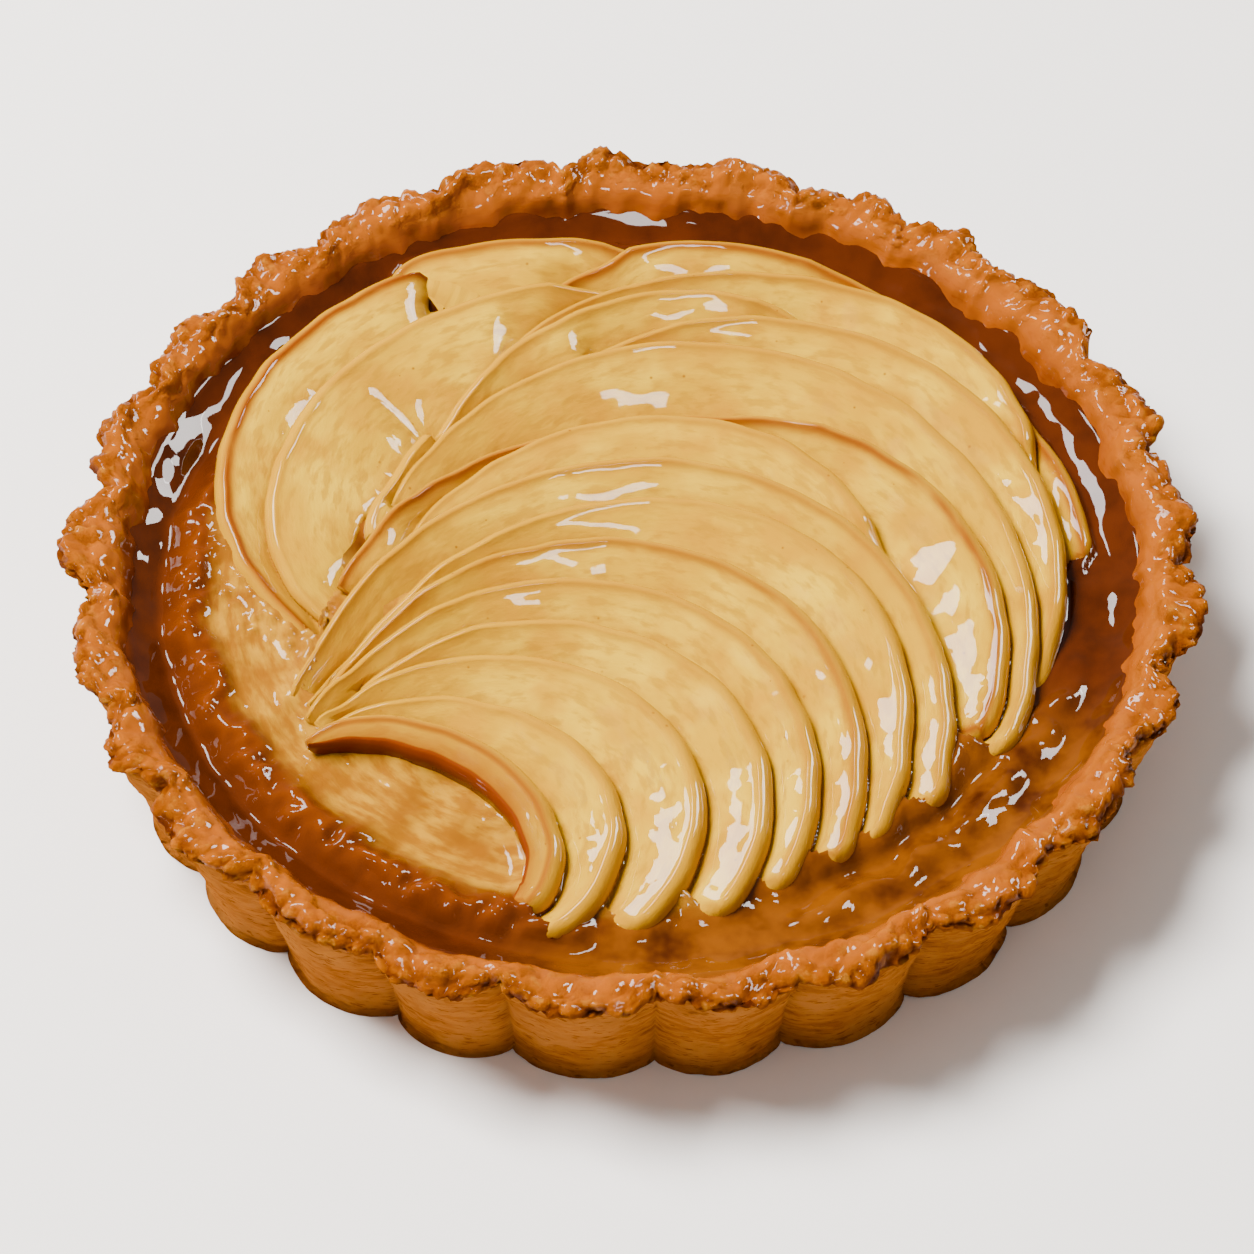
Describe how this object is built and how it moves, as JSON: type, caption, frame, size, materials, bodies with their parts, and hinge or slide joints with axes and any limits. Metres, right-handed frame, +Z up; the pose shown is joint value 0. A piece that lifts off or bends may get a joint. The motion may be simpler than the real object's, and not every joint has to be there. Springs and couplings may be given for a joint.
{
  "type": "french apple tart",
  "caption": "Round tart with a fluted baked pastry wall, amber compote and jelly filling, and thin half-moon apple slices overlapping in a fan.",
  "frame": {"origin": "middle of the flat underside, where the tart stands", "axes": "+Z up through the tart; -Y towards the viewer, who sees the small end of the fan at the front left; +X to the viewer's right"},
  "size_m": [0.141, 0.1405, 0.0223],
  "materials": {
    "pastry": "matt, rough and crumbly, with glossy glaze on the rim",
    "jelly": "wet gloss",
    "apple": "glazed gloss"
  },
  "bodies": {
    "root": {"crust": "pastry", "filling": "jelly", "apple_slice_01": "apple", "apple_slice_02": "apple", "apple_slice_03": "apple", "apple_slice_04": "apple", "apple_slice_05": "apple", "apple_slice_06": "apple", "apple_slice_07": "apple", "apple_slice_08": "apple", "apple_slice_09": "apple", "apple_slice_10": "apple", "apple_slice_11": "apple", "apple_slice_12": "apple", "apple_slice_13": "apple", "apple_slice_14": "apple", "apple_slice_15": "apple", "apple_slice_16": "apple", "apple_slice_17": "apple", "apple_slice_18": "apple", "apple_slice_19": "apple"}
  },
  "joints": []
}
